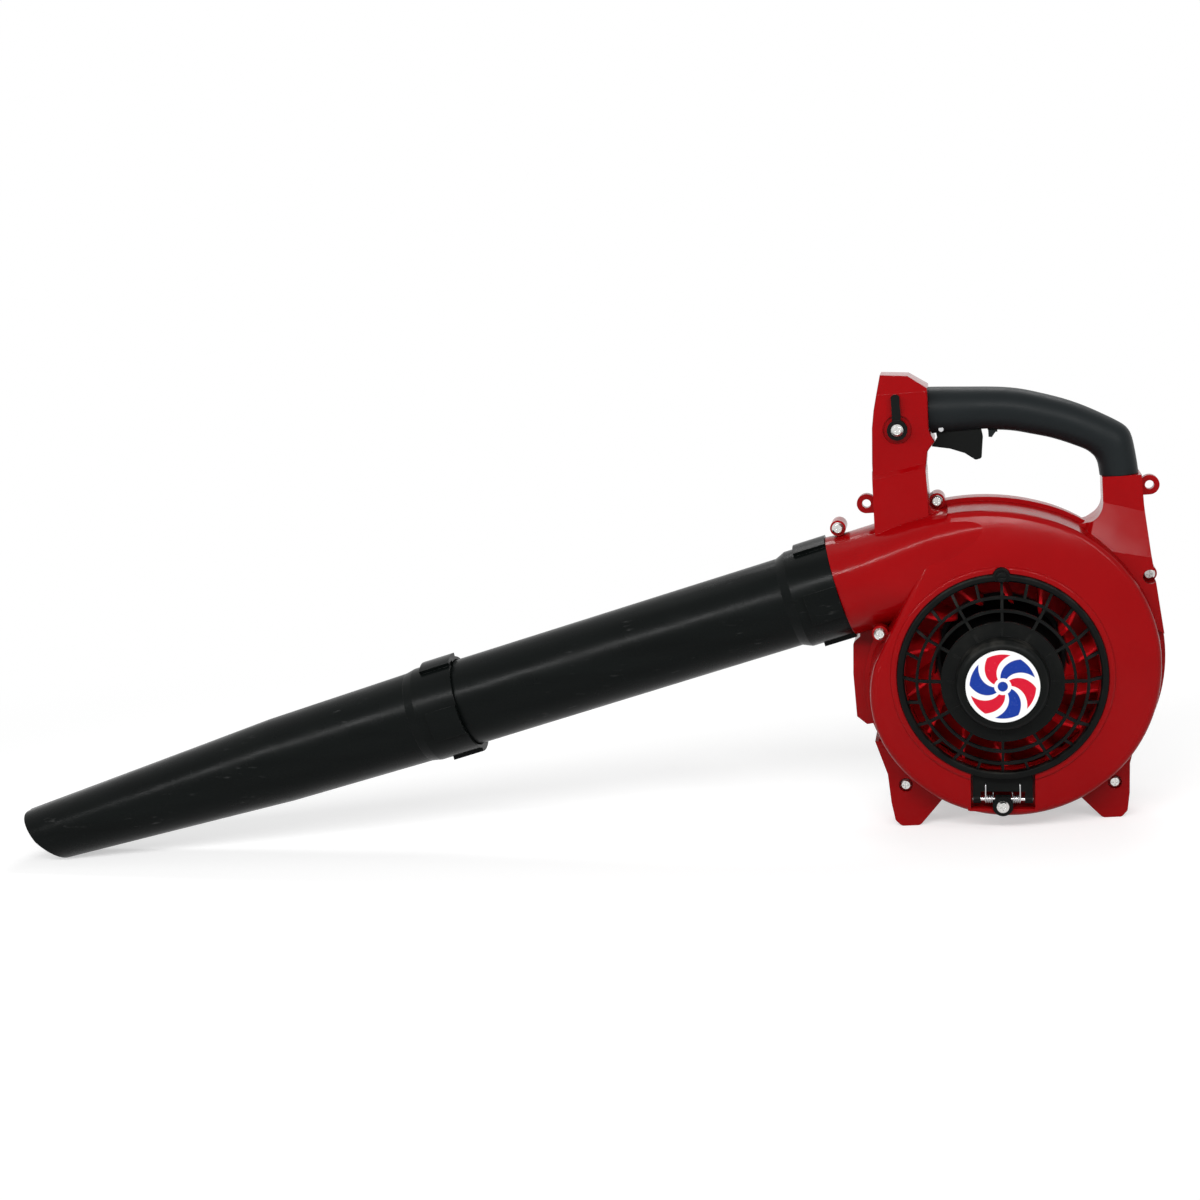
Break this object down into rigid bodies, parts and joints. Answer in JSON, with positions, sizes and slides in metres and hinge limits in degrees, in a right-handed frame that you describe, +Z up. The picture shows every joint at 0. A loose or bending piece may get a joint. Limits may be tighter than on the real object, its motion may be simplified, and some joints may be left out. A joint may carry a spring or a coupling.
{
  "type": "handheld leaf blower",
  "caption": "Handheld petrol leaf blower: scroll fan housing with hinged intake grille, looped hand grip, trigger, recoil starter and a two-piece blower tube with a flattened nozzle.",
  "frame": {"origin": "on the ground plane under the fan axis, in the plane where the two housing halves meet", "axes": "+X to the right as seen from the intake side, away from the nozzle; +Y from the intake side to the engine side; +Z up"},
  "size_m": [0.985, 0.2672, 0.3693],
  "materials": {
    "housing_red": "glossy",
    "tube_black": "satin",
    "grip_charcoal": "satin",
    "part_black": "matt",
    "grille_black": "satin",
    "badge": "glossy",
    "fan_red": "satin",
    "zinc_steel": "satin",
    "bright_steel": "polished",
    "spring_steel": "bright",
    "ring_iron": "machined",
    "cast_alloy": "as cast",
    "machined_alloy": "machined",
    "gasket_grey": "matt",
    "rubber_black": "matt",
    "insulator_brown": "satin",
    "muffler_steel": "satin",
    "tank_white": "translucent",
    "bulb_clear": "glossy",
    "foam_grey": "porous",
    "rope_white": "braided",
    "pulley_grey": "satin"
  },
  "bodies": {
    "housing": {"front_housing": "housing_red", "rear_housing": "housing_red", "housing_screws": "zinc_steel", "grip_front": "grip_charcoal", "grip_rear": "grip_charcoal", "trigger_pin": "bright_steel", "hinge_bracket": "part_black", "grille_hinge_pin": "bright_steel", "crankcase_front": "cast_alloy", "crankcase_rear": "cast_alloy", "crank_bearings": "bright_steel", "oil_seals": "rubber_black", "connecting_rod": "machined_alloy", "piston": "machined_alloy", "piston_pin": "bright_steel", "piston_rings": "ring_iron", "cylinder": "cast_alloy", "gaskets": "gasket_grey", "spark_plug": "zinc_steel", "ignition_coil": "part_black", "ignition_lead": "rubber_black", "starter_case": "part_black", "recoil_spring": "spring_steel", "rope_eyelet": "machined_alloy", "engine_screws": "zinc_steel", "engine_cover": "part_black", "muffler": "muffler_steel", "muffler_bolts": "zinc_steel", "muffler_guard": "part_black", "carburetor": "cast_alloy", "intake_insulator": "insulator_brown", "air_cleaner_base": "part_black", "air_filter_foam": "foam_grey", "fuel_tank": "tank_white", "fuel_lines": "rubber_black", "throttle_cable": "rubber_black"},
    "fan_train": {"fan_impeller": "fan_red", "fan_cone": "part_black", "shaft_nuts": "zinc_steel", "crankshaft": "bright_steel", "flywheel": "cast_alloy", "starter_cup": "zinc_steel"},
    "grille": {"intake_grille": "grille_black", "medallion": "badge", "grille_springs": "spring_steel"},
    "catch": {"grille_catch": "part_black"},
    "trigger": {"throttle_trigger": "part_black"},
    "cruise": {"cruise_lever": "part_black"},
    "stop": {"stop_switch": "part_black"},
    "tube": {"blower_tube": "tube_black"},
    "nozzle": {"nozzle_tube": "tube_black"},
    "pulley": {"starter_pulley": "pulley_grey"},
    "handle": {"starter_handle": "part_black", "starter_rope": "rope_white"},
    "cap": {"fuel_cap": "part_black"},
    "choke": {"choke_lever": "part_black"},
    "bulb": {"primer_bulb": "bulb_clear"},
    "cleaner": {"air_cleaner_cover": "part_black"},
    "knob": {"air_cleaner_knob": "part_black"}
  },
  "joints": [
    {"name": "fan_spin", "type": "hinge", "parent": "housing", "child": "fan_train", "pos_m": [0, 0, 0.128], "axis": [0, 1, 0], "continuous": true},
    {"name": "grille_open", "type": "hinge", "parent": "housing", "child": "grille", "pos_m": [-0.00529, -0.05, 0.02714], "axis": [0.9986, 0, -0.0523], "range_deg": [0, 75], "stiffness_Nm_per_rad": 0.12, "springref_deg": -28.65},
    {"name": "catch_turn", "type": "hinge", "parent": "grille", "child": "catch", "pos_m": [0.00421, -0.06, 0.20839], "axis": [0, 1, 0], "range_deg": [0, 90]},
    {"name": "trigger_pull", "type": "hinge", "parent": "housing", "child": "trigger", "pos_m": [-0.036, 0, 0.322], "axis": [0, -1, 0], "range_deg": [0, 16], "stiffness_Nm_per_rad": 0.3, "springref_deg": -11.46},
    {"name": "cruise_turn", "type": "hinge", "parent": "housing", "child": "cruise", "pos_m": [-0.0699, -0.028, 0.3254], "axis": [0, 1, 0], "range_deg": [0, 60]},
    {"name": "stop_slide", "type": "slide", "parent": "housing", "child": "stop", "axis": [0, 0, 1], "range_m": [0, 0.006]},
    {"name": "tube_twist", "type": "hinge", "parent": "housing", "child": "tube", "pos_m": [-0.14401, 0, 0.19416], "axis": [-0.9703, 0, -0.2419], "range_deg": [0, 16]},
    {"name": "nozzle_twist", "type": "hinge", "parent": "tube", "child": "nozzle", "pos_m": [-0.4642, 0, 0.11433], "axis": [-0.9703, 0, -0.2419], "range_deg": [0, 16]},
    {"name": "pulley_turn", "type": "hinge", "parent": "housing", "child": "pulley", "pos_m": [0, 0.154, 0.128], "axis": [0, 1, 0], "range_deg": [0, 896.2]},
    {"name": "handle_pull", "type": "slide", "parent": "housing", "child": "handle", "axis": [1, 0, 0], "range_m": [0, 0.5], "stiffness_N_per_m": 12, "springref_m": -0.25},
    {"name": "cap_turn", "type": "hinge", "parent": "housing", "child": "cap", "pos_m": [-0.08, 0.118, 0.038], "axis": [-1, 0, 0], "range_deg": [0, 540]},
    {"name": "choke_turn", "type": "hinge", "parent": "housing", "child": "choke", "pos_m": [-0.0753, 0.109, 0.178], "axis": [-1, 0, 0], "range_deg": [0, 75]},
    {"name": "bulb_press", "type": "slide", "parent": "housing", "child": "bulb", "axis": [0, -1, 0], "range_m": [0, 0.005], "stiffness_N_per_m": 600, "springref_m": -0.0005},
    {"name": "cleaner_off", "type": "slide", "parent": "housing", "child": "cleaner", "axis": [-1, 0, 0], "range_m": [0, 0.04]},
    {"name": "knob_turn", "type": "hinge", "parent": "cleaner", "child": "knob", "pos_m": [-0.112, 0.078, 0.19], "axis": [-1, 0, 0], "range_deg": [0, 720]}
  ],
  "couplings": [
    {"joint": "pulley_turn", "follows": "handle_pull", "rad_per_m": 31.25}
  ]
}
